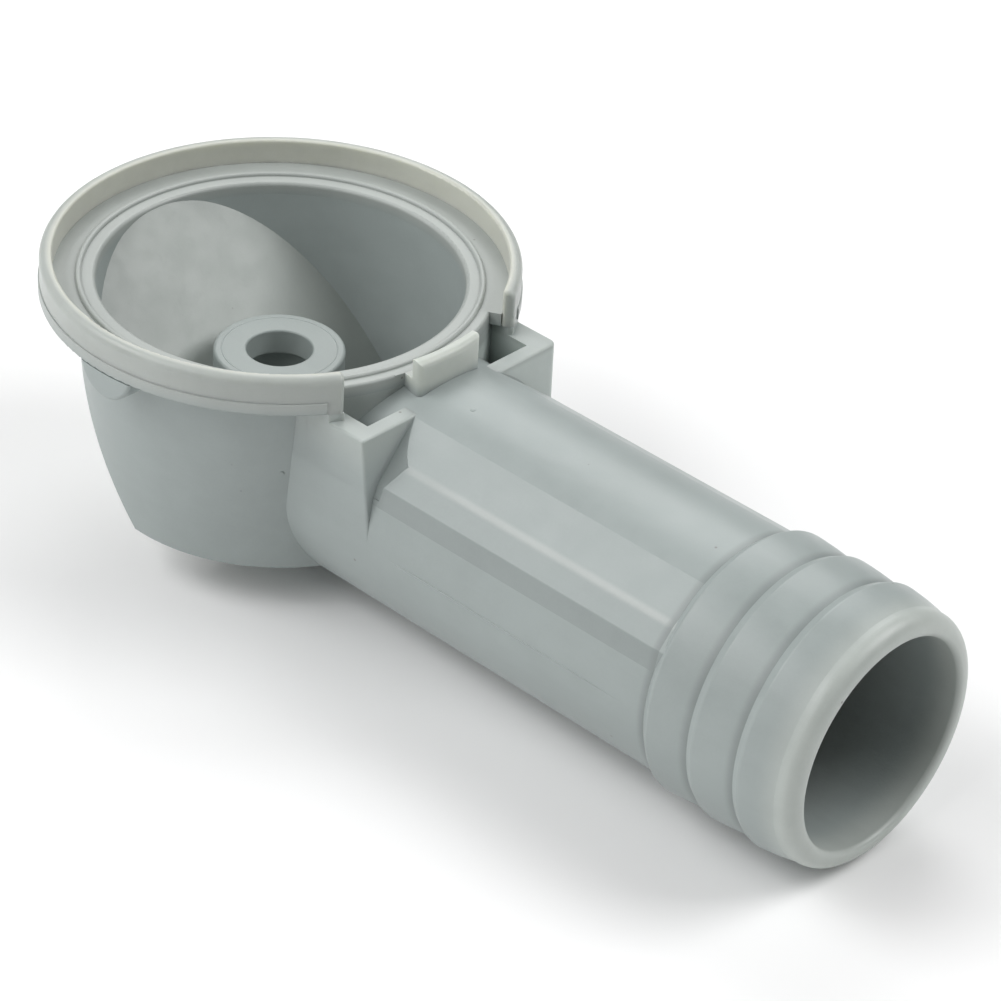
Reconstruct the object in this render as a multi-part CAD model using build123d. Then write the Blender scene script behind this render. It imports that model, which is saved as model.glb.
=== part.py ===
from build123d import *
import os
from math import cos, radians, sin, tan

# Moulded overflow drain body: a round bowl under a gasket rim, a screw boss in its middle, a sloping
# back wall and a barbed outlet for a 38 mm hose.  Millimetres.  +Z is up and +X is the way out of the
# outlet.  The origin is the middle of the screw boss's seating face.  Heights below are Z values, and
# bearings are degrees about the Z axis from the outlet.  Left is the -Y side.

# Rim and gasket seat
RIM_RADIUS = 36.0
RIM_WALL = 1.9
RIM_TOP = 17.0
RIM_BOTTOM = 11.0
RIM_END = 29.0
RIM_OUTER_ROUNDING = 1.1
RIM_INNER_ROUNDING = 0.35
RIM_END_ROUNDING = 0.6
BAND_TOP = 12.95
BAND_PROUD = 0.2
BAND_END = 33.0
LEDGE_TOP = 13.0
LIP_RADIUS = 27.7
LIP_ROUNDING = 0.6
RING_RADIUS = 32.3        # outside of the lip ring, where the pockets begin
RING_ROUNDING = 0.4
RING_ROUNDED_FROM = 13.0  # bearing where the centre tab's root fillet ends
BEAD_INNER = 29.8
BEAD_OUTER = 30.7
BEAD_HEIGHT = 0.5
TAB_HALF_ANGLE = 10.1
TAB_TOP = 16.35
TAB_END_ROUNDING = 0.9
TAB_ROOT_FILLET = 1.6

# Half-round pads under the rim
PAD_RADIUS = 5.2
PAD_CENTRE_HEIGHT = 12.0
PAD_X = 1.0
PAD_ROUNDING = 0.6

# Bowl
BOWL_TOP_RADIUS = 30.9
BOWL_BOTTOM_RADIUS = 28.3
BOWL_WALL = 3.15
BOWL_BOTTOM = -20.8
FLOOR_TOP = -17.8
RAMP_SLOPE = 1.09         # fall per millimetre towards the outlet
RAMP_INNER_AT_AXIS = -17.75
RAMP_OUTER_AT_AXIS = -21.9

# Screw boss
BOSS_RADIUS = 10.03
HOLE_RADIUS = 5.05
BOSS_PLATE = 4.2
SOCKET_RADIUS = 7.0

# Outlet pipe
PIPE_HEIGHT = -7.7
PIPE_RADIUS = 19.3
BORE_AT_BOWL = 16.0
BORE_AT_MOUTH = 16.3
SUMP_END = 8.0
BORE_START = 11.0
NECK_END = 39.2
BARB_START = 92.5
BARB_PITCH = 8.25
BARB_RISE = 1.3
BARB_CREST = 20.5
BARB_ROOT = 19.8
BARB_ROUNDING = 0.8
BARB_BULGE = 0.12
BARB_COUNT = 3
MOUTH_START = 116.0
MOUTH_RADIUS = 19.6
MOUTH_END = 119.0

# Pockets beside the outlet; the right one is wider, and its wall leans further out from the pipe
POCKET_WALL_TOP = 9.7
POCKET_WALL_BASE = 1.2
LEFT_POCKET_SIDE = 16.0
RIGHT_POCKET_SIDE = 17.05
LEFT_WALL_SIDE = 19.4     # outer sides at the pocket walls' top
RIGHT_WALL_SIDE = 21.2
RIGHT_CORNER_ROUNDING = 1.3
POCKET_FRONT = 34.8
FRONT_FACE = 37.2
FRONT_DRAFT = 6.5
EDGE_ROUNDING = 0.4

# Three-sided shoulders along both sides of the pipe: (radius, degrees above horizontal) about its axis
SHOULDER_UPPER = (PIPE_RADIUS, 62.5)
SHOULDER_CREASE = (19.55, 41.0)
SHOULDER_LOWER = (20.0, 30.0)
SHOULDER_BASE = (PIPE_RADIUS, 20.5)
CREASE_ROUNDING = 4.0
SHOULDER_TIP = (37.0, 7.6)        # (x, distance from the plane of symmetry) along a shoulder's end
SHOULDER_BEND = (39.3, 12.2)
SHOULDER_HEEL = (41.7, 14.4)
SHOULDER_FOOT = (38.3, 19.7)
RELIEF_DISTANCE = 18.5    # from the pipe's axis to the flat between a pocket wall and a shoulder
RELIEF_ANGLE = 46.0

CLEAR = 80.0              # reach of cutting shapes that pass right through


def outline(*corners):
    """Closed outline through (x, y) corners; a third number rounds that corner."""
    face = make_face(Polyline(*[(corner[0], corner[1]) for corner in corners], close=True))
    for corner in corners:
        if len(corner) == 3:
            nearest = face.vertices().sort_by_distance((corner[0], corner[1], 0))[0]
            face = fillet(nearest, corner[2])
    return face


def turned(face, start=0.0, sweep=360.0):
    """Turn a (radius, height) outline about the bowl's axis, from one bearing through a sweep."""
    return Rot(0, 0, start) * revolve(Plane.XZ * face, Axis.Z, sweep)


def sector(inner, outer, low, high, start=0.0, sweep=360.0):
    """Plain ring about the bowl's axis, or a part of one, between two radii and two heights."""
    return turned(outline((inner, low), (outer, low), (outer, high), (inner, high)), start, sweep)


def piped(face):
    """Turn an (x, radius) outline about the pipe's axis."""
    return Pos(0, 0, PIPE_HEIGHT) * revolve(Plane.XZ * face, Axis.X, 360)


def slab(face):
    """Run an (x, z) outline right through the part, across the plane of symmetry."""
    return extrude(Plane.XZ * face, CLEAR, both=True)


def upright(radius, low, high):
    """Upright cylinder about the bowl's axis."""
    return Pos(0, 0, (low + high) / 2) * Cylinder(radius, high - low)


def along_pipe(radius, start, end):
    """Cylinder about the pipe's axis."""
    return Pos((start + end) / 2, 0, PIPE_HEIGHT) * Rot(0, 90, 0) * Cylinder(radius, end - start)


def span(low_x, high_x, low_y, high_y, low_z, high_z):
    """Box between two limits on each axis."""
    middle = Pos((low_x + high_x) / 2, (low_y + high_y) / 2, (low_z + high_z) / 2)
    return middle * Box(high_x - low_x, high_y - low_y, high_z - low_z)


def mirrored(shape):
    """The same shape on the other side of the plane of symmetry."""
    return mirror(shape, about=Plane.XZ)


def distance_from_axis(edge):
    """How far an edge's middle is from the bowl's axis."""
    return (edge.center().X ** 2 + edge.center().Y ** 2) ** 0.5


# --- shared boundaries -----------------------------------------------------------------------------

def bowl_envelope():
    """Solid inside the bowl's outer surface, with the space inside the lip above it."""
    return turned(outline((0, BOWL_BOTTOM), (BOWL_BOTTOM_RADIUS, BOWL_BOTTOM),
                          (BOWL_TOP_RADIUS, RIM_BOTTOM), (LIP_RADIUS, RIM_BOTTOM),
                          (LIP_RADIUS, LEDGE_TOP), (0, LEDGE_TOP)))


def bowl_cavity():
    """Solid inside the bowl's inner surface, up to the lip."""
    return turned(outline((0, BOWL_BOTTOM), (BOWL_BOTTOM_RADIUS - BOWL_WALL, BOWL_BOTTOM),
                          (LIP_RADIUS, RIM_BOTTOM), (LIP_RADIUS, LEDGE_TOP - LIP_ROUNDING),
                          (0, LEDGE_TOP - LIP_ROUNDING)))


def below_plane(height_at_axis):
    """Everything under a plane that falls towards the outlet with the ramp's slope."""
    rise = RAMP_SLOPE * CLEAR
    return slab(outline((-CLEAR, height_at_axis + rise), (CLEAR, height_at_axis - rise),
                        (CLEAR, -3 * CLEAR), (-CLEAR, -3 * CLEAR)))


def behind_front():
    """Everything on the bowl's side of the pocket walls' leaning front face."""
    lean = tan(radians(FRONT_DRAFT)) * CLEAR
    return slab(outline((0, POCKET_WALL_TOP - CLEAR), (FRONT_FACE + lean, POCKET_WALL_TOP - CLEAR),
                        (FRONT_FACE - lean, POCKET_WALL_TOP + CLEAR), (0, POCKET_WALL_TOP + CLEAR)))


def bore():
    """The outlet's bore inside the bowl and the neck."""
    return along_pipe(BORE_AT_BOWL, BORE_START, NECK_END)


# --- rim -------------------------------------------------------------------------------------------

def rim_band():
    """Slightly thicker lower band of the rim."""
    inner = RIM_RADIUS - RIM_WALL
    outer = RIM_RADIUS + BAND_PROUD
    face = outline((inner, RIM_BOTTOM), (outer, RIM_BOTTOM, 0.3), (outer, BAND_TOP, 0.15), (inner, BAND_TOP))
    return turned(face, BAND_END, 360 - 2 * BAND_END)


def rim_section(top):
    """Section of the rim with the rounded crest that the centre tab shares."""
    return outline((RIM_RADIUS - RIM_WALL, RIM_BOTTOM), (RIM_RADIUS, RIM_BOTTOM),
                   (RIM_RADIUS, top, RIM_OUTER_ROUNDING), (RIM_RADIUS - RIM_WALL, top, RIM_INNER_ROUNDING))


def rounded_ends(block, radius):
    """Round the two upright outer edges at a ring piece's ends."""
    upright_edges = block.edges().filter_by(Axis.Z).sort_by(distance_from_axis)
    return fillet(upright_edges[-2:], radius)


def rim_wall():
    """Upright wall round the gasket seat, open over the outlet."""
    inner = RIM_RADIUS - RIM_WALL
    wall = turned(rim_section(RIM_TOP), RIM_END, 360 - 2 * RIM_END)
    wall = rounded_ends(wall, RIM_END_ROUNDING)
    return wall - sector(inner - 1, RIM_RADIUS + 1, RIM_BOTTOM, BAND_TOP, BAND_END, 360 - 2 * BAND_END)


def gasket_ledge():
    """Flat seat between the lip ring and the rim."""
    return sector(RING_RADIUS, RIM_RADIUS - RIM_WALL, RIM_BOTTOM, LEDGE_TOP, RIM_END, 360 - 2 * RIM_END)


def lip_ring():
    """Ring round the bowl's mouth, level with the ledge and rounded off beside the two pockets."""
    ring = turned(outline((LIP_RADIUS, RIM_BOTTOM), (RING_RADIUS, RIM_BOTTOM),
                          (RING_RADIUS, LEDGE_TOP), (LIP_RADIUS, LEDGE_TOP, LIP_ROUNDING)))
    inner, low = RING_RADIUS - RING_ROUNDING, LEDGE_TOP - RING_ROUNDING
    corner = outline((inner, low), (RING_RADIUS + 1, low),
                     (RING_RADIUS + 1, LEDGE_TOP + 1), (inner, LEDGE_TOP + 1))
    corner -= Pos(inner, low) * Circle(RING_ROUNDING)
    for start in (-RIM_END, RING_ROUNDED_FROM):
        ring -= turned(corner, start, RIM_END - RING_ROUNDED_FROM)
    return ring


def sealing_bead():
    """Raised bead on the lip ring that bites into the gasket."""
    return turned(outline((BEAD_INNER, LEDGE_TOP), (BEAD_OUTER, LEDGE_TOP),
                          (BEAD_OUTER, LEDGE_TOP + BEAD_HEIGHT, 0.35),
                          (BEAD_INNER, LEDGE_TOP + BEAD_HEIGHT, 0.35)))


def centre_tab():
    """Short piece of rim that stands alone over the outlet, with its root on the pipe."""
    start, sweep = -TAB_HALF_ANGLE, 2 * TAB_HALF_ANGLE
    root = sector(RING_RADIUS - 1, RIM_RADIUS, 0, LEDGE_TOP, start, sweep)
    root += sector(RING_RADIUS - 2, RING_RADIUS, 0, LEDGE_TOP, 2 * start, 2 * sweep)
    side_edges = root.edges().filter_by(Axis.Z).sort_by(distance_from_axis)
    root = rounded_ends(fillet(side_edges[-4:-2], TAB_ROOT_FILLET), TAB_END_ROUNDING)
    crest = rounded_ends(sector(RIM_RADIUS - RIM_WALL, RIM_RADIUS, LEDGE_TOP, TAB_TOP, start, sweep),
                         TAB_END_ROUNDING)
    tab = root + (crest & turned(rim_section(TAB_TOP)))
    return tab - upright(RING_RADIUS, -CLEAR, CLEAR) - along_pipe(PIPE_RADIUS, 0, CLEAR)


def rim_pad(side):
    """Half-round pad between the bowl and the rim band; side is -1 or 1."""
    centre = Pos(PAD_X, side * RIM_RADIUS, PAD_CENTRE_HEIGHT)
    disc = centre * Rot(90, 0, 0) * Cylinder(PAD_RADIUS, 4 * PAD_RADIUS)
    pad = disc & upright(RIM_RADIUS + BAND_PROUD, BOWL_BOTTOM, RIM_BOTTOM)
    outer_edge = pad.edges().filter_by(lambda edge: abs(edge.center().Y) > RIM_RADIUS
                                       and edge.center().Z < RIM_BOTTOM - 1)
    return fillet(outer_edge, PAD_ROUNDING) - bowl_envelope()


# --- bowl ------------------------------------------------------------------------------------------

def bowl_wall():
    """Drafted wall of the bowl, cut away by the ramp and pierced by the outlet."""
    inner_bottom = BOWL_BOTTOM_RADIUS - BOWL_WALL
    shell = turned(outline((LIP_RADIUS, RIM_BOTTOM), (BOWL_TOP_RADIUS, RIM_BOTTOM),
                           (BOWL_BOTTOM_RADIUS, BOWL_BOTTOM), (inner_bottom, BOWL_BOTTOM)))
    return shell - below_plane(RAMP_OUTER_AT_AXIS) - bore()


def bowl_ramp():
    """Sloping wall that leads water from the back of the bowl to the floor."""
    plate = bowl_cavity() & below_plane(RAMP_INNER_AT_AXIS)
    plate -= below_plane(RAMP_OUTER_AT_AXIS)
    plate -= upright(CLEAR, -CLEAR, FLOOR_TOP)
    return plate - upright(SOCKET_RADIUS, BOWL_BOTTOM, RIM_TOP)


def bowl_floor():
    """Flat floor under the boss, open to the sump at the outlet side."""
    disc = bowl_cavity() & upright(CLEAR, BOWL_BOTTOM, FLOOR_TOP)
    disc -= below_plane(RAMP_OUTER_AT_AXIS)
    disc -= upright(SOCKET_RADIUS, BOWL_BOTTOM, FLOOR_TOP)
    return disc - bore()


def screw_boss():
    """Round post with a screw hole in its top plate and a wider socket below."""
    post = turned(outline((HOLE_RADIUS, 0, 0.3), (BOSS_RADIUS, 0, 0.45), (BOSS_RADIUS, FLOOR_TOP),
                          (SOCKET_RADIUS, FLOOR_TOP), (SOCKET_RADIUS, -BOSS_PLATE),
                          (HOLE_RADIUS, -BOSS_PLATE, 0.4)))
    return post - below_plane(RAMP_INNER_AT_AXIS)


# --- outlet ----------------------------------------------------------------------------------------

def cheek_prism(top):
    """Everything between the cheeks' outer sides, which lean out from the pipe's flanks, up to a height."""
    rise = (top - PIPE_HEIGHT) / (POCKET_WALL_TOP - PIPE_HEIGHT)
    left, right = (PIPE_RADIUS + (side - PIPE_RADIUS) * rise for side in (LEFT_WALL_SIDE, RIGHT_WALL_SIDE))
    section = outline((-PIPE_RADIUS, PIPE_HEIGHT), (PIPE_RADIUS, PIPE_HEIGHT), (right, top), (-left, top))
    return extrude(Plane.YZ * section, CLEAR)


def cheeks():
    """Solid block on both sides of the pipe, up to the pocket walls' top and the rim above them."""
    block = cheek_prism(POCKET_WALL_TOP) & behind_front()
    corner = block.faces().sort_by(Axis.X)[-1].edges().sort_by(Axis.Y)[-1]
    block = fillet(corner, RIGHT_CORNER_ROUNDING)
    top_edges = block.faces().sort_by(Axis.Z)[-1].edges().filter_by(lambda edge: edge.center().X > 1)
    front_left = block.faces().sort_by(Axis.X)[-1].edges().sort_by(Axis.Y)[0]
    block = fillet(top_edges + [front_left], EDGE_ROUNDING)
    under_rim = sector(RING_RADIUS - 1, RIM_RADIUS, POCKET_WALL_TOP - 1, RIM_BOTTOM,
                       RIM_END, 360 - 2 * RIM_END)
    return block + (under_rim & cheek_prism(RIM_BOTTOM))


def groove_plan():
    """Plan of the groove on the left, from the front face to the end of the shoulder."""
    tip, bend, heel, foot = ((x, -y) for x, y in (SHOULDER_TIP, SHOULDER_BEND, SHOULDER_HEEL, SHOULDER_FOOT))
    end_line = ThreePointArc(tip, bend, heel)
    rest = Polyline(heel, foot, (FRONT_FACE - 2, foot[1]), (FRONT_FACE - 2, tip[1]), tip)
    return extrude(make_face([end_line, rest]), CLEAR)


def around_pipe(radius, degrees):
    """Point (y, z) on the pipe's left side at a radius and an angle above horizontal about its axis."""
    return (-radius * cos(radians(degrees)), PIPE_HEIGHT + radius * sin(radians(degrees)))


def strip(*corners):
    """Straight strip along the pipe's left side, from the shoulder's tip to the first barb's crest."""
    start = SHOULDER_TIP[0]
    bar = extrude(Plane.YZ.offset(start) * outline(*corners), BARB_START + BARB_RISE - start)
    return bar - groove_plan() - behind_front()


def relief():
    """Cuts into the pipe's round on both sides: the groove behind each shoulder and its upper facet."""
    tilt = Pos(0, 0, PIPE_HEIGHT) * Rot(-RELIEF_ANGLE, 0, 0)
    outside_flat = tilt * span(0, CLEAR, -CLEAR, -RELIEF_DISTANCE, -CLEAR, CLEAR)
    groove = (groove_plan() & outside_flat) - behind_front()
    facet = strip(around_pipe(*SHOULDER_UPPER), around_pipe(*SHOULDER_CREASE),
                  around_pipe(CLEAR, SHOULDER_CREASE[1]), around_pipe(CLEAR, SHOULDER_UPPER[1]))
    one_side = groove + facet
    return one_side + mirrored(one_side)


def pocket_wall(block, side):
    """L-shaped upstand round one pocket; side is -1 or 1."""
    low_y, high_y = sorted((0, side * CLEAR))
    wall = block & span(0, CLEAR, low_y, high_y, POCKET_WALL_BASE, CLEAR)
    wall -= span(0, POCKET_FRONT, -LEFT_POCKET_SIDE, RIGHT_POCKET_SIDE, 0, CLEAR)
    return wall - along_pipe(PIPE_RADIUS, 0, CLEAR) - upright(RING_RADIUS, 0, CLEAR)


def outlet_neck(block):
    """Tube and flat-sided cheeks between the bowl and the pipe."""
    cheek_base = block - upright(CLEAR, POCKET_WALL_BASE, CLEAR) - bowl_envelope()
    tube = along_pipe(PIPE_RADIUS, BORE_START, NECK_END) - bowl_envelope()
    neck = tube + cheek_base - bore() - relief()
    return neck - upright(BOWL_BOTTOM_RADIUS, -CLEAR, BOWL_BOTTOM) - upright(RING_RADIUS, RIM_BOTTOM, CLEAR)


def pocket_back(side):
    """Curved wall behind one pocket, from the neck up to the lip ring; side is -1 or 1."""
    wall = sector(RING_RADIUS - 3, RING_RADIUS, POCKET_WALL_BASE, RIM_BOTTOM) & cheek_prism(RIM_BOTTOM)
    wall = wall - bowl_envelope() - along_pipe(PIPE_RADIUS, 0, CLEAR)
    return wall.solids().filter_by(lambda solid: solid.center().Y * side > 0)[0]


def outlet_sump():
    """Trough under the floor that carries the pipe's lower half back to a closed end."""
    trough = along_pipe(PIPE_RADIUS, SUMP_END, NECK_END) & upright(BOWL_BOTTOM_RADIUS, -CLEAR, BOWL_BOTTOM)
    return trough - bore()


def outlet_pipe():
    """Plain length of the pipe, from the neck to the first barb."""
    tube = piped(outline((NECK_END, BORE_AT_BOWL), (NECK_END, PIPE_RADIUS),
                         (BARB_START, PIPE_RADIUS), (BARB_START, BORE_AT_MOUTH)))
    return tube - relief()


def shoulder(neck, pipe):
    """Raised flat-sided strip along the pipe's left side, below the facet."""
    bar = strip(around_pipe(PIPE_RADIUS - 2, SHOULDER_UPPER[1]), around_pipe(*SHOULDER_UPPER),
                (*around_pipe(*SHOULDER_CREASE), CREASE_ROUNDING), around_pipe(*SHOULDER_LOWER),
                around_pipe(*SHOULDER_BASE), around_pipe(PIPE_RADIUS - 2, SHOULDER_BASE[1]))
    return (bar - neck - pipe - barb(0)).solids().sort_by(SortBy.VOLUME)[-1]


def barb(number):
    """One ring of the hose tail with a steep back and a long bulging taper towards the mouth."""
    start = BARB_START + number * BARB_PITCH
    last = number == BARB_COUNT - 1
    end = MOUTH_START if last else start + BARB_PITCH
    end_radius = MOUTH_RADIUS if last else BARB_ROOT
    back_radius = PIPE_RADIUS if number == 0 else BARB_ROOT
    crest = (start + BARB_RISE, BARB_CREST)
    bulge = ((crest[0] + end) / 2, (BARB_CREST + end_radius) / 2 + BARB_BULGE)
    taper = ThreePointArc(crest, bulge, (end, end_radius))
    rest = Polyline((end, end_radius), (end, BORE_AT_MOUTH), (start, BORE_AT_MOUTH),
                    (start, back_radius), crest)
    face = make_face([taper, rest])
    crest_corner = face.vertices().sort_by_distance((*crest, 0))[0]
    return piped(fillet(crest_corner, BARB_ROUNDING))


def pipe_mouth():
    """Rounded nose that starts the hose."""
    return piped(outline((MOUTH_START, BORE_AT_MOUTH), (MOUTH_START, MOUTH_RADIUS),
                         (MOUTH_END, MOUTH_RADIUS - 0.1, 2.3), (MOUTH_END, BORE_AT_MOUTH, 0.8)))


def build():
    """Every named piece of the body."""
    block = cheeks()
    neck = outlet_neck(block)
    pipe = outlet_pipe()
    left_shoulder = shoulder(neck, pipe)
    pieces = {
        "rim_wall": rim_wall(),
        "rim_band": rim_band(),
        "gasket_ledge": gasket_ledge(),
        "lip_ring": lip_ring(),
        "sealing_bead": sealing_bead(),
        "centre_tab": centre_tab(),
        "left_rim_pad": rim_pad(-1),
        "right_rim_pad": rim_pad(1),
        "bowl_wall": bowl_wall(),
        "bowl_ramp": bowl_ramp(),
        "bowl_floor": bowl_floor(),
        "screw_boss": screw_boss(),
        "outlet_neck": neck,
        "left_pocket_back": pocket_back(-1),
        "right_pocket_back": pocket_back(1),
        "left_pocket_wall": pocket_wall(block, -1),
        "right_pocket_wall": pocket_wall(block, 1),
        "outlet_sump": outlet_sump(),
        "outlet_pipe": pipe,
        "left_shoulder": left_shoulder,
        "right_shoulder": mirrored(left_shoulder),
        "pipe_mouth": pipe_mouth(),
    }
    for number in range(BARB_COUNT):
        pieces[f"barb_{number + 1}"] = barb(number)
    return pieces


os.makedirs("parts", exist_ok=True)
for name, piece in build().items():
    export_step(piece, f"parts/{name}.step")
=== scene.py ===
from math import cos, pi, radians, sin

import bpy
from mathutils import Matrix, Vector


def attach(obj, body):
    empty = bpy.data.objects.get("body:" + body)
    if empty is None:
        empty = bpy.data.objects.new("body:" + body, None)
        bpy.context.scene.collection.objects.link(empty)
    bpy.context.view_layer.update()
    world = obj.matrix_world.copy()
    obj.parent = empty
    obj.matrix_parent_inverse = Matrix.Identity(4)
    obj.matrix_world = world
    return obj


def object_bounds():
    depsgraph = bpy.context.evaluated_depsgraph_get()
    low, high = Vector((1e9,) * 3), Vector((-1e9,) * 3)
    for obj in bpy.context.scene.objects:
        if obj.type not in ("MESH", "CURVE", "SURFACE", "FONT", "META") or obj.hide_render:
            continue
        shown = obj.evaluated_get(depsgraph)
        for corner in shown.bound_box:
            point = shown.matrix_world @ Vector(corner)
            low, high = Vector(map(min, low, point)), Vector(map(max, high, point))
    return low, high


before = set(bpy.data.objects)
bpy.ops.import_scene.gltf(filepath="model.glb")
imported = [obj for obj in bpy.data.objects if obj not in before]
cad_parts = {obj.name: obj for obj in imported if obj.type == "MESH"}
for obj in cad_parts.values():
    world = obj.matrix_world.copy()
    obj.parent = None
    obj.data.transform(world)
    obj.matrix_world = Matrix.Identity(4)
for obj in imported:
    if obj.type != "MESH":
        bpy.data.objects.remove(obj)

CAD_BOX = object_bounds()

# ---- viewpoint: metres and degrees, in the part's frame ---------------------------------------------
CAMERA_PLACE = Vector((0.346095, -0.335891, 0.300325))
CAMERA_BEARING = 41.7074
CAMERA_ELEVATION = 34.0941
CAMERA_ROLL = 3.6886
CAMERA_LENS = 134.471
SENSOR_WIDTH = 36.0
NEAREST, FARTHEST = 0.01, 20

# ---- studio: white softboxes round the part, by bearing and elevation in degrees --------------------
LIGHT_DISTANCE = 0.9
LIGHTS = {
    # name: (bearing, elevation, size in metres, watts)
    "overhead": (0, 90, 0.7, 0.28),
    "key_back_left": (219, 45, 0.5, 3.58),
    "left": (264, 45, 0.5, 1.97),
    "mouth_side": (0, 45, 0.5, 0.41),
    "key_right": (45, 45, 0.5, 4.61),
    "back_right": (130, 45, 0.5, 2.72),
    "low_back_left": (219, 15, 0.5, 0.77),
    "low_left": (265, 15, 0.5, 0.80),
}
WORLD_STRENGTH = 0.1
FLOOR_SIZE = 6.0
FLOOR_TONE = (0.93, 0.93, 0.93, 1)
FLOOR_ROUGHNESS = 0.9

# ---- plastic tones: linear colour of thick walls; painted light on thin walls, painted shade in the bore ------
BODY = (0.318, 0.357, 0.350)
RAMP = (0.331, 0.361, 0.341)
# RIM_INSIDE to MOUTH: lighter, warmer tones on the thin rim, tab, ledges, pockets and mouth, painted light
# standing in for light passing through the thin walls
RIM_INSIDE = (0.570, 0.580, 0.520)
RIM_OUTSIDE = (0.400, 0.426, 0.406)
TAB = (0.505, 0.538, 0.500)
LEDGE = (0.375, 0.402, 0.385)
POCKET = (0.375, 0.412, 0.396)
RIGHT_POCKET_FOOT = (0.470, 0.520, 0.500)
MOUTH = (0.440, 0.475, 0.450)
# painted shade deep inside the bore
DEEP_BORE = (0.200, 0.208, 0.200)
BOSS = (0.285, 0.320, 0.310)
DARK_SPECK = (0.12, 0.12, 0.11)
PALE_SPECK = (0.22, 0.21, 0.19)

# ---- directions that a tone can change in, and the places where it does, in metres ------------------
ALONG, ACROSS, UP, OUTWARD = 0, 1, 2, 3
RIM_FADE = (0.0340, 0.0353)
TAB_FADE = (0.0105, 0.0130)
LEDGE_FADE = (0.0105, 0.0126)
LEFT_POCKET_FADE = (0.0020, 0.0095)
RIGHT_POCKET_FADE = (0.0086, 0.0096)
MOUTH_FADE = (0.1125, 0.1180)
BORE_FADE = (0.080, 0.121)

# ---- mottling: noise scales, each one's share in the tone, and the spread of the tone ---------------
CLOUD_SCALE, CLOUD_SHARE = 38, 0.45
MOTTLE_SCALE, MOTTLE_SHARE = 240, 0.3
STREAK_SCALE, STREAK_SHARE = 420, 0.15
GRAIN_SCALE, GRAIN_SHARE = 2600, 0.10
STREAK_STRETCH = (0.06, 1, 1)
SHADE_RANGE = (0.34, 0.66)
TONE_SPREAD = 0.05
SPECK_SCALE = 150.0
SPECK_EDGE = (0.022, 0.044)
SPECK_STRENGTH = 0.7

# ---- surface: gloss, light passing through thin walls, and unevenness of the skin -------------------
MOTTLE_RANGE = (0.3, 0.7)
ROUGHNESS_RANGE = (0.34, 0.44)
PLASTIC_IOR = 1.49
RIM_GLOW = 0.7
POCKET_GLOW = 0.4
GLOW_RADIUS = (1.0, 1.0, 0.9)
GLOW_SCALE = 0.0015
WAVE_SCALE, WAVE_STRENGTH, WAVE_DEPTH = 160, 0.20, 0.0004
WAVE_STRETCH = (0.35, 1, 1)
SKIN_SCALE, SKIN_STRENGTH, SKIN_DEPTH = 3200, 0.16, 0.00006

# ---- the outlet's sizes, in metres ------------------------------------------------------------------
PIPE_HEIGHT = -0.0077
PIPE_RADIUS = 0.0193
BORE_RADIUS = 0.0163
BARB_START = 0.0925
BARB_PITCH = 0.00825

# ---- shade on the tail: in the bore, and in hollows placed by their share of a barb's pitch ---------
BORE_EDGE = (BORE_RADIUS + 0.0001, BORE_RADIUS + 0.0008)
HOLLOW_FADE = (0.80, 0.99)
HOLLOWS_START = (BARB_START - 0.0018, BARB_START - 0.0010)
HOLLOWS_END = (BARB_START + 2.2 * BARB_PITCH, BARB_START + 2.4 * BARB_PITCH)
HOLLOW_SHADE = 0.73

# ---- painted highlight and painted shade on the shoulders, by the angle about the pipe's axis in degrees ---
CREST_ANGLE, CREST_REACH, CREST_SOFTNESS = 41.5, 2.8, 2.4
CREST_FADE = (0.038, 0.060)
CREST_FIRST_STRENGTH = 0.5
CREST_SHINE = (1.24, 1.19, 1.18)
FOOT_ANGLE, FOOT_REACH, FOOT_SOFTNESS = 25.0, 5.0, 0.6
FOOT_SHADE = 0.86

# ---- small moulding marks, in metres ----------------------------------------------------------------
LET_IN = 0.00002
RIDGE_START, RIDGE_END = 0.0435, 0.0900
RIDGE_HEIGHT = 0.0002
RIDGE_HALF_WIDTH = 1.4           # times its height
RIDGE_THINNING = 0.45            # share of its height lost by its end
RIDGE_RISE, RIDGE_FALL = 12, 6   # how quickly its ends taper
RIDGE_END_HEIGHT = 0.05          # share of its height left at its ends
RIDGE_STATIONS, RIDGE_SIDES = 48, 6
PIPS = {
    # name: (foot, direction, radius, height)
    "gate_pip": ((0.0434, -0.0034, 0.0113), (0, -0.176, 0.984), 0.00045, 0.00012),
    "bowl_pip": ((0.0220, -0.0202, -0.0029), (0.737, -0.676, 0), 0.0003, 0.00015),
}
PIP_LET_IN = 0.3                 # share of its height below the surface
PIP_RINGS, PIP_SIDES = 4, 20
BOSS_LINE_RADIUS = 0.0088
BOSS_LINE_HALF_WIDTH = 0.00012
BOSS_LINE_HEIGHT = 0.00006
BOSS_LINE_SIDES = 120


# ---- camera, light and floor ------------------------------------------------------------------------

def add_camera():
    """Camera from its bearing, elevation and roll about the line of sight."""
    a, e, r = (radians(x) for x in (CAMERA_BEARING, CAMERA_ELEVATION, CAMERA_ROLL))
    back = Vector((sin(a) * cos(e), -cos(a) * cos(e), sin(e)))
    right = Vector((cos(a), sin(a), 0))
    up = back.cross(right)
    turned_right = right * cos(r) + up * sin(r)
    turned_up = up * cos(r) - right * sin(r)
    data = bpy.data.cameras.new("camera")
    data.lens = CAMERA_LENS
    data.sensor_width = SENSOR_WIDTH
    data.clip_start = NEAREST
    data.clip_end = FARTHEST
    camera = bpy.data.objects.new("camera", data)
    rotation = Matrix((turned_right, turned_up, back)).transposed().to_4x4()
    camera.matrix_world = Matrix.Translation(CAMERA_PLACE) @ rotation
    bpy.context.scene.collection.objects.link(camera)
    bpy.context.scene.camera = camera


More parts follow.
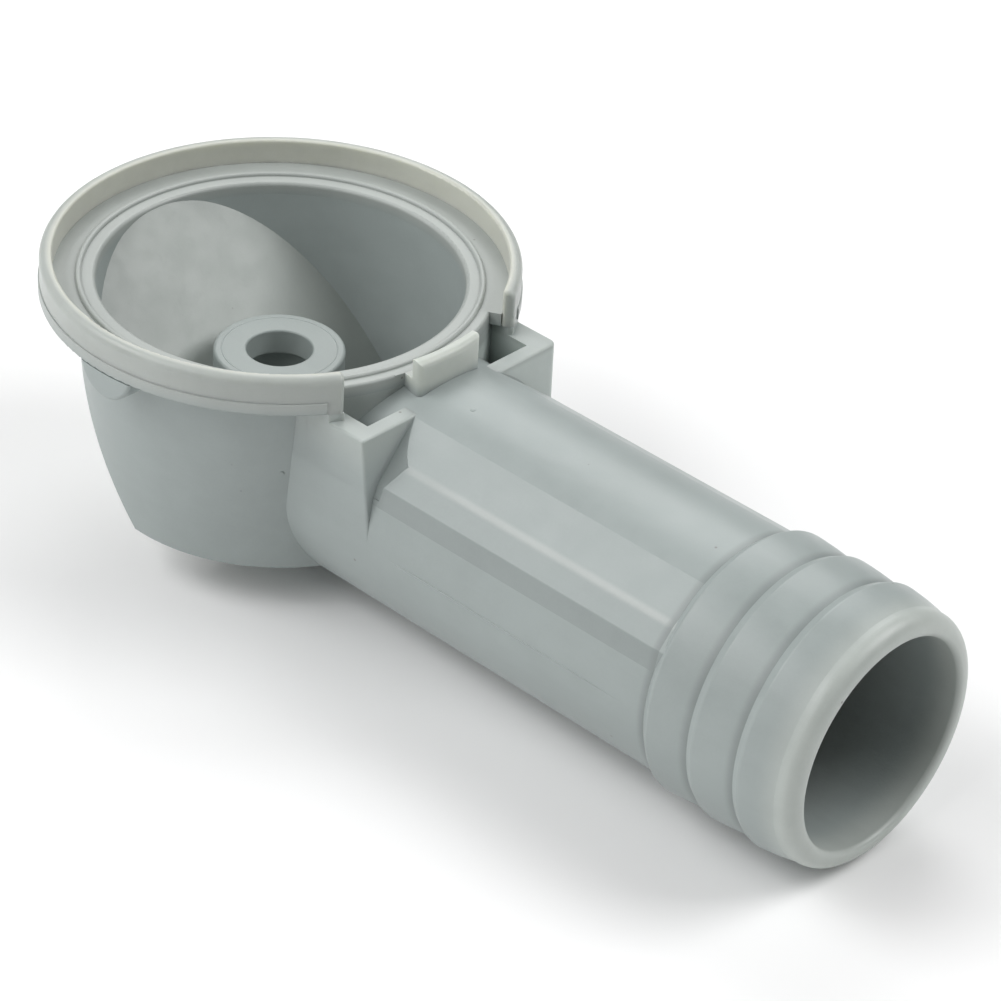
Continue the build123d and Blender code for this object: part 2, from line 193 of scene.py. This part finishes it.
def add_light(name, bearing, elevation, size, watts):
    """Square softbox on a sphere round the part, facing its middle."""
    low, high = (Vector(corner) for corner in CAD_BOX)
    middle = (low + high) / 2
    b, e = radians(bearing), radians(elevation)
    direction = Vector((cos(b) * cos(e), sin(b) * cos(e), sin(e)))
    data = bpy.data.lights.new(name, "AREA")
    data.shape = "SQUARE"
    data.size = size
    data.energy = watts
    light = bpy.data.objects.new(name, data)
    light.location = middle + direction * LIGHT_DISTANCE
    light.rotation_euler = direction.to_track_quat("Z", "Y").to_euler()
    bpy.context.scene.collection.objects.link(light)


def add_world():
    world = bpy.data.worlds.new("studio")
    world.use_nodes = True
    background = world.node_tree.nodes["Background"]
    background.inputs["Color"].default_value = (1, 1, 1, 1)
    background.inputs["Strength"].default_value = WORLD_STRENGTH
    bpy.context.scene.world = world


def add_floor():
    """Plain pale floor touching the lowest point of the part."""
    mesh = bpy.data.meshes.new("floor")
    h = FLOOR_SIZE / 2
    z = CAD_BOX[0][2]
    mesh.from_pydata([(-h, -h, z), (h, -h, z), (h, h, z), (-h, h, z)], [], [(0, 1, 2, 3)])
    floor = bpy.data.objects.new("floor", mesh)
    bpy.context.scene.collection.objects.link(floor)
    material = bpy.data.materials.new("floor_white")
    material.use_nodes = True
    shader = material.node_tree.nodes["Principled BSDF"]
    shader.inputs["Base Color"].default_value = FLOOR_TONE
    shader.inputs["Roughness"].default_value = FLOOR_ROUGHNESS
    mesh.materials.append(material)


# ---- moulded plastic --------------------------------------------------------------------------------

class Graph:
    """Small helper that adds and wires shader nodes in one material."""

    def __init__(self, name):
        self.material = bpy.data.materials.new(name)
        self.material.use_nodes = True
        self.tree = self.material.node_tree
        self.shader = self.tree.nodes["Principled BSDF"]
        coordinates = self.tree.nodes.new("ShaderNodeTexCoord")
        self.place = coordinates.outputs["Object"]

    def add(self, kind, settings=None, **inputs):
        node = self.tree.nodes.new(kind)
        for key, value in (settings or {}).items():
            setattr(node, key, value)
        for key, value in inputs.items():
            self.feed(node.inputs[key.replace("_", " ")], value)
        return node

    def feed(self, socket, value):
        if isinstance(value, bpy.types.NodeSocket):
            self.tree.links.new(value, socket)
        else:
            socket.default_value = value

    def maths(self, operation, *values):
        node = self.add("ShaderNodeMath", {"operation": operation})
        for socket, value in zip(node.inputs, values):
            self.feed(socket, value)
        return node.outputs[0]

    def distance(self, first, second):
        """Length of a two-part vector."""
        squares = (self.maths("POWER", part, 2.0) for part in (first, second))
        return self.maths("POWER", self.maths("ADD", *squares), 0.5)

    def noise(self, scale, detail, stretch=(1, 1, 1), roughness=0.5):
        mapping = self.add("ShaderNodeMapping", Vector=self.place, Scale=stretch)
        texture = self.add("ShaderNodeTexNoise", Vector=mapping.outputs[0],
                           Scale=scale, Detail=detail, Roughness=roughness)
        return texture.outputs[0]

    def between(self, value, low, high, new_low, new_high):
        """The value carried smoothly from one range to another."""
        node = self.add("ShaderNodeMapRange", {"interpolation_type": "SMOOTHSTEP"}, Value=value)
        for key, number in zip(("From Min", "From Max", "To Min", "To Max"), (low, high, new_low, new_high)):
            node.inputs[key].default_value = number
        return node.outputs[0]

    def near(self, value, middle, reach, softness):
        """Mask of values within a reach of a middle."""
        off = self.maths("ABSOLUTE", self.maths("SUBTRACT", value, middle))
        return self.between(off, reach - softness, reach, 1, 0)

    def ramp(self, factor, dark, light):
        node = self.add("ShaderNodeValToRGB", Fac=factor)
        node.color_ramp.elements[0].color = (*dark, 1)
        node.color_ramp.elements[1].color = (*light, 1)
        return node.outputs[0]

    def mottled(self, factor, tone):
        return self.ramp(factor, scaled(tone, 1 - TONE_SPREAD), scaled(tone, 1 + TONE_SPREAD))

    def mix(self, factor, first, second):
        return self.add("ShaderNodeMixRGB", Fac=factor, Color1=first, Color2=second).outputs[0]


def scaled(colour, factor):
    return tuple(channel * factor for channel in colour)


def plastic(name, tone, far_tone=None, direction=UP, fade=(0, 1), painted_light=None, glow=0.0):
    """Satin grey moulding whose tone passes to another between two places in a direction, OUTWARD being
    away from the bowl's axis; the function given for painted light adds its own places of painted
    shade and painted highlight."""
    graph = Graph(name)
    clouds = graph.noise(CLOUD_SCALE, 3)
    mottle = graph.noise(MOTTLE_SCALE, 5, roughness=0.6)
    streaks = graph.noise(STREAK_SCALE, 3, STREAK_STRETCH)
    grain = graph.noise(GRAIN_SCALE, 2)
    shade = graph.maths("MULTIPLY", clouds, CLOUD_SHARE)
    for layer, share in ((mottle, MOTTLE_SHARE), (streaks, STREAK_SHARE), (grain, GRAIN_SHARE)):
        shade = graph.maths("ADD", shade, graph.maths("MULTIPLY", layer, share))
    factor = graph.between(shade, *SHADE_RANGE, 0, 1)
    colour = graph.mottled(factor, tone)
    place = list(graph.add("ShaderNodeSeparateXYZ", Vector=graph.place).outputs)
    place.append(graph.distance(place[ALONG], place[ACROSS]))
    if far_tone:
        passed = graph.between(place[direction], *fade, 0, 1)
        colour = graph.mix(passed, colour, graph.mottled(factor, far_tone))
    # painted shade and painted highlights laid over the tone
    if painted_light:
        for mask, painted_tone in painted_light(graph, place, tone):
            colour = graph.mix(mask, colour, graph.mottled(factor, painted_tone))
    specks = graph.add("ShaderNodeTexVoronoi", Vector=graph.place, Scale=SPECK_SCALE).outputs["Distance"]
    dirt = graph.ramp(mottle, DARK_SPECK, PALE_SPECK)
    colour = graph.mix(graph.between(specks, *SPECK_EDGE, SPECK_STRENGTH, 0), colour, dirt)
    graph.feed(graph.shader.inputs["Base Color"], colour)
    graph.feed(graph.shader.inputs["Roughness"], graph.between(mottle, *MOTTLE_RANGE, *ROUGHNESS_RANGE))
    graph.shader.inputs["IOR"].default_value = PLASTIC_IOR
    graph.shader.inputs["Subsurface Weight"].default_value = glow
    graph.shader.inputs["Subsurface Radius"].default_value = GLOW_RADIUS
    graph.shader.inputs["Subsurface Scale"].default_value = GLOW_SCALE
    waves = graph.add("ShaderNodeBump", Strength=WAVE_STRENGTH, Distance=WAVE_DEPTH,
                      Height=graph.noise(WAVE_SCALE, 2, WAVE_STRETCH))
    skin = graph.add("ShaderNodeBump", Strength=SKIN_STRENGTH, Distance=SKIN_DEPTH,
                     Height=graph.noise(SKIN_SCALE, 3), Normal=waves.outputs[0])
    graph.feed(graph.shader.inputs["Normal"], skin.outputs[0])
    return graph.material


def from_pipe_axis(graph, place):
    """Distance from the pipe's axis."""
    return graph.distance(place[ACROSS], graph.maths("SUBTRACT", place[UP], PIPE_HEIGHT))


def painted_hollow_shade(graph, place, tone):
    """Painted shade in the hollows in front of the barbs' steep backs, on the outside only."""
    turns = graph.maths("DIVIDE", graph.maths("SUBTRACT", place[ALONG], BARB_START), BARB_PITCH)
    hollow = graph.between(graph.maths("FRACT", turns), *HOLLOW_FADE, 0, 1)
    for limit in (graph.between(place[ALONG], *HOLLOWS_START, 0, 1),
                  graph.between(place[ALONG], *HOLLOWS_END, 1, 0),
                  graph.between(from_pipe_axis(graph, place), *BORE_EDGE, 0, 1)):
        hollow = graph.maths("MULTIPLY", hollow, limit)
    return [(hollow, scaled(tone, HOLLOW_SHADE))]


def tail_painted_shade(graph, place, tone):
    """Painted shade in the barbs' hollows and in the depth of the bore."""
    inside = graph.between(from_pipe_axis(graph, place), *BORE_EDGE, 1, 0)
    deep = graph.maths("MULTIPLY", inside, graph.between(place[ALONG], *BORE_FADE, 1, 0))
    return [*painted_hollow_shade(graph, place, tone), (deep, DEEP_BORE)]


def shoulder_painted_light(graph, place, tone):
    """Painted highlight along the shoulders' crest and painted shade at their foot, by the angle about the
    pipe's axis.
    """
    upward = graph.maths("SUBTRACT", place[UP], PIPE_HEIGHT)
    angle = graph.maths("ARCTAN2", upward, graph.maths("ABSOLUTE", place[ACROSS]))
    crest = graph.near(angle, *(radians(x) for x in (CREST_ANGLE, CREST_REACH, CREST_SOFTNESS)))
    crest = graph.maths("MULTIPLY", crest, graph.between(place[ALONG], *CREST_FADE, CREST_FIRST_STRENGTH, 1))
    foot = graph.near(angle, *(radians(x) for x in (FOOT_ANGLE, FOOT_REACH, FOOT_SOFTNESS)))
    # painted highlight along the crest, where a softbox reflects
    painted_highlight = tuple(channel * shine for channel, shine in zip(tone, CREST_SHINE))
    return [(crest, painted_highlight), (foot, scaled(tone, FOOT_SHADE)), *painted_hollow_shade(graph, place, tone)]


def paint_nodes():
    """Give each named node the plastic of its place on the moulding."""
    body = plastic("moulded_body", BODY)
    ramp = plastic("moulded_ramp", RAMP)
    rim = plastic("moulded_rim", RIM_INSIDE, RIM_OUTSIDE, OUTWARD, RIM_FADE, glow=RIM_GLOW)
    tab = plastic("moulded_tab", BODY, TAB, UP, TAB_FADE, glow=RIM_GLOW)
    ledge = plastic("moulded_ledge", BODY, LEDGE, UP, LEDGE_FADE)
    left_pocket = plastic("moulded_left_pocket", BODY, POCKET, UP, LEFT_POCKET_FADE, glow=POCKET_GLOW)
    right_pocket = plastic("moulded_right_pocket", RIGHT_POCKET_FOOT, POCKET, UP, RIGHT_POCKET_FADE,
                           glow=POCKET_GLOW)
    tail = plastic("moulded_tail", BODY, MOUTH, ALONG, MOUTH_FADE, painted_light=tail_painted_shade)
    shoulder = plastic("moulded_shoulder", BODY, painted_light=shoulder_painted_light)
    boss = plastic("moulded_boss", BOSS)
    special = {
        "rim_wall": rim, "centre_tab": tab,
        "rim_band": ledge, "gasket_ledge": ledge, "lip_ring": ledge, "sealing_bead": ledge,
        "left_pocket_wall": left_pocket, "left_pocket_back": left_pocket,
        "right_pocket_wall": right_pocket, "right_pocket_back": right_pocket,
        "bowl_ramp": ramp, "bowl_floor": ramp,
        "left_shoulder": shoulder, "right_shoulder": shoulder,
        "outlet_pipe": tail, "barb_1": tail, "barb_2": tail, "barb_3": tail, "pipe_mouth": tail,
        "screw_boss": boss,
    }
    for name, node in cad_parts.items():
        node.data.materials.clear()
        node.data.materials.append(special.get(name, body))
    return body


# ---- small moulding marks ---------------------------------------------------------------------------

def add_piece(name, points, faces, material):
    """New mesh piece that rides on the body."""
    mesh = bpy.data.meshes.new(name)
    mesh.from_pydata(points, [], faces)
    mesh.polygons.foreach_set("use_smooth", [True] * len(mesh.polygons))
    mesh.materials.append(material)
    piece = bpy.data.objects.new(name, mesh)
    bpy.context.scene.collection.objects.link(piece)
    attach(piece, "root")


def band(here, there, count):
    """Faces between two closed loops of points, each given by the index of its first point."""
    return [(here + k, here + (k + 1) % count, there + (k + 1) % count, there + k) for k in range(count)]


def add_parting_ridge(material):
    """Faint ridge where the mould halves met, along the pipe's left flank."""
    points = []
    for station in range(RIDGE_STATIONS + 1):
        t = station / RIDGE_STATIONS
        x = RIDGE_START + (RIDGE_END - RIDGE_START) * t
        taper = min(1, RIDGE_RISE * t + RIDGE_END_HEIGHT, RIDGE_FALL * (1 - t) + RIDGE_END_HEIGHT)
        size = RIDGE_HEIGHT * taper * (1 - RIDGE_THINNING * t)
        for side in range(RIDGE_SIDES + 1):
            turn = pi * side / RIDGE_SIDES
            points.append((x, -PIPE_RADIUS + LET_IN - size * sin(turn),
                           PIPE_HEIGHT + RIDGE_HALF_WIDTH * size * cos(turn)))
    row = RIDGE_SIDES + 1
    last = RIDGE_STATIONS * row
    faces = [tuple(reversed(range(row))), tuple(range(last, last + row))]
    for first in range(0, last, row):
        faces += band(first, first + row, row)
    add_piece("parting_ridge", points, faces, material)


def add_pip(name, foot, direction, radius, height, material):
    """Low round pip left by a gate or a vent."""
    foot = Vector(foot)
    outward = Vector(direction).normalized()
    across = outward.orthogonal().normalized()
    along = outward.cross(across)
    points = []
    for ring in range(PIP_RINGS):
        turn = pi / 2 * ring / PIP_RINGS
        for side in range(PIP_SIDES):
            a = 2 * pi * side / PIP_SIDES
            spoke = across * cos(a) + along * sin(a)
            points.append(foot + spoke * radius * cos(turn) + outward * height * (sin(turn) - PIP_LET_IN))
    top = len(points)
    points.append(foot + outward * height * (1 - PIP_LET_IN))
    faces = [face for ring in range(PIP_RINGS - 1)
             for face in band(ring * PIP_SIDES, (ring + 1) * PIP_SIDES, PIP_SIDES)]
    brim = top - PIP_SIDES
    faces += [(brim + side, brim + (side + 1) % PIP_SIDES, top) for side in range(PIP_SIDES)]
    faces.append(tuple(reversed(range(PIP_SIDES))))
    add_piece(name, points, faces, material)


def add_boss_line(material):
    """Faint raised circle left by the mould's insert on the boss's top face."""
    profile = ((-BOSS_LINE_HALF_WIDTH, -LET_IN), (0, BOSS_LINE_HEIGHT), (BOSS_LINE_HALF_WIDTH, -LET_IN))
    corners = len(profile)
    points, faces = [], []
    for side in range(BOSS_LINE_SIDES):
        a = 2 * pi * side / BOSS_LINE_SIDES
        points += [((BOSS_LINE_RADIUS + offset) * cos(a), (BOSS_LINE_RADIUS + offset) * sin(a), z)
                   for offset, z in profile]
        faces += band(corners * side, corners * ((side + 1) % BOSS_LINE_SIDES), corners)
    add_piece("boss_line", points, faces, material)


add_camera()
add_world()
add_floor()
for light_name, settings in LIGHTS.items():
    add_light(light_name, *settings)
body_plastic = paint_nodes()
add_parting_ridge(body_plastic)
for pip_name, shape in PIPS.items():
    add_pip(pip_name, *shape, body_plastic)
add_boss_line(body_plastic)
bpy.context.scene.view_settings.view_transform = "Standard"
